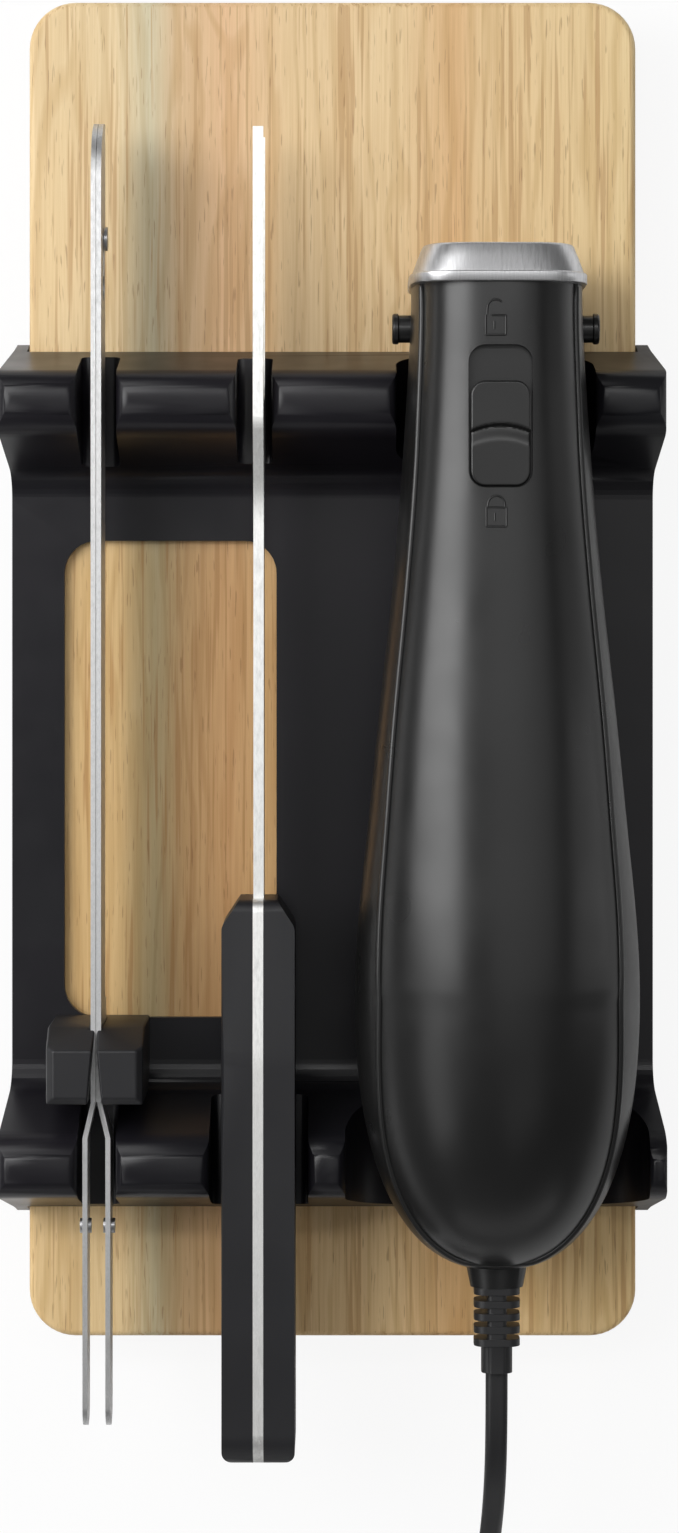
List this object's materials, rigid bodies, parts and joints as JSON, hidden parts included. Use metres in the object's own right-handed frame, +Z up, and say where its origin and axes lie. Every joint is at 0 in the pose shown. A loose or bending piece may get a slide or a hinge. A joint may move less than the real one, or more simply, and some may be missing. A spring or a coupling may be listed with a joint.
{
  "type": "electric carving knife",
  "caption": "Electric carving knife stored in a moulded tray with its blade pair, a carving fork and a wooden cutting board that slides out; cord coiled behind.",
  "frame": {"origin": "bottom centre of the stored set, at the rubber feet's undersides, cord left out", "axes": "+X across the tray from the blades to the knife, +Y along the board towards the blades' tips, +Z up"},
  "size_m": [0.1603, 0.5311, 0.0883],
  "materials": {
    "tray_plastic": "satin",
    "foot_rubber": "matte",
    "board_wood": "oiled",
    "blade_steel": "brushed",
    "plain_steel": "satin",
    "handle_black": "semi-gloss",
    "cap_silver": "satin",
    "inner_plastic": "matte",
    "dark_plastic": "matte",
    "gear_plastic": "matte",
    "iron": "matte",
    "copper": "bright",
    "bronze": "satin",
    "carbon": "matte",
    "circuit_board": "matte",
    "cord_rubber": "satin",
    "prong_brass": "bright",
    "rivet_metal": "satin"
  },
  "bodies": {
    "tray": {"storage_tray": "tray_plastic", "rubber_feet": "foot_rubber"},
    "board": {"cutting_board": "board_wood"},
    "left_blade": {"blade_left": "blade_steel", "collar_left": "handle_black", "blade_rivet": "plain_steel", "tang_pin_left": "plain_steel"},
    "right_blade": {"blade_right": "blade_steel", "collar_right": "handle_black", "tang_pin_right": "plain_steel"},
    "fork": {"fork_steel": "blade_steel", "fork_scale_left": "handle_black", "fork_scale_right": "handle_black", "fork_rivets": "rivet_metal"},
    "knife": {"upper_housing": "handle_black", "lower_housing": "handle_black", "nose_cap": "cap_silver", "housing_screws": "plain_steel", "release_springs": "plain_steel", "trigger_pin": "plain_steel", "trigger_spring": "plain_steel", "switch_body": "dark_plastic", "gearbox_frame": "inner_plastic", "gearbox_screws": "plain_steel", "wheel_shaft": "plain_steel", "motor_can": "plain_steel", "motor_end_cap": "inner_plastic", "front_bush": "bronze", "rear_bush": "bronze", "carbon_brushes": "carbon", "field_magnets": "iron", "rectifier_board": "circuit_board", "cord_clamp": "inner_plastic", "strain_relief": "cord_rubber", "cord": "cord_rubber", "cord_coil": "cord_rubber", "cord_end": "cord_rubber", "plug_body": "cord_rubber", "plug_prongs": "prong_brass"},
    "rotor": {"armature_shaft": "plain_steel", "armature_core": "iron", "commutator": "copper", "cooling_fan": "inner_plastic", "worm": "plain_steel"},
    "wheel": {"worm_wheel": "gear_plastic", "crank_pins": "plain_steel"},
    "left_slider": {"drive_slider_left": "gear_plastic"},
    "right_slider": {"drive_slider_right": "gear_plastic"},
    "trigger_lever": {"trigger": "dark_plastic"},
    "plunger": {"switch_plunger": "inner_plastic"},
    "lock": {"lock_slider": "handle_black", "lock_bar": "inner_plastic"},
    "left_button": {"release_button_left": "handle_black"},
    "right_button": {"release_button_right": "handle_black"}
  },
  "joints": [
    {"name": "board_slide", "type": "slide", "parent": "tray", "child": "board", "axis": [0, 1, 0], "range_m": [0, 0.26]},
    {"name": "blade_lift", "type": "slide", "parent": "tray", "child": "left_blade", "axis": [0, 0, 1], "range_m": [0, 0.1]},
    {"name": "blade_part", "type": "slide", "parent": "left_blade", "child": "right_blade", "axis": [0, 1, 0], "range_m": [0, 0.01]},
    {"name": "fork_lift", "type": "slide", "parent": "tray", "child": "fork", "axis": [0, 0, 1], "range_m": [0, 0.1]},
    {"name": "knife_lift", "type": "slide", "parent": "tray", "child": "knife", "axis": [0, 0, 1], "range_m": [0, 0.1]},
    {"name": "rotor_spin", "type": "hinge", "parent": "knife", "child": "rotor", "pos_m": [0.0393, -0.06, 0.063], "axis": [0, 1, 0], "continuous": true},
    {"name": "wheel_spin", "type": "hinge", "parent": "knife", "child": "wheel", "pos_m": [0.0393, -0.014, 0.049], "axis": [1, 0, 0], "continuous": true},
    {"name": "left_slider_stroke", "type": "slide", "parent": "knife", "child": "left_slider", "axis": [0, 1, 0], "range_m": [-0.0045, 0.0045]},
    {"name": "right_slider_stroke", "type": "slide", "parent": "knife", "child": "right_slider", "axis": [0, 1, 0], "range_m": [-0.0045, 0.0045]},
    {"name": "trigger_pull", "type": "hinge", "parent": "knife", "child": "trigger_lever", "pos_m": [0.0393, 0.062, 0.04], "axis": [-1, 0, 0], "range_deg": [0, 4], "stiffness_Nm_per_rad": 1.5, "deforming": ["trigger_spring"]},
    {"name": "plunger_press", "type": "slide", "parent": "knife", "child": "plunger", "axis": [0, 0, 1], "range_m": [0, 0.0026]},
    {"name": "lock_slide", "type": "slide", "parent": "knife", "child": "lock", "axis": [0, 1, 0], "range_m": [0, 0.0081]},
    {"name": "left_button_press", "type": "slide", "parent": "knife", "child": "left_button", "axis": [1, 0, 0], "range_m": [0, 0.0025], "stiffness_N_per_m": 400, "deforming": ["release_springs"]},
    {"name": "right_button_press", "type": "slide", "parent": "knife", "child": "right_button", "axis": [-1, 0, 0], "range_m": [0, 0.0025], "stiffness_N_per_m": 400}
  ],
  "couplings": [
    {"joint": "wheel_spin", "follows": "rotor_spin", "ratio": 0.05},
    {"joint": "right_slider_stroke", "follows": "left_slider_stroke", "ratio": -1},
    {"joint": "plunger_press", "follows": "trigger_pull", "m_per_rad": 0.034}
  ]
}
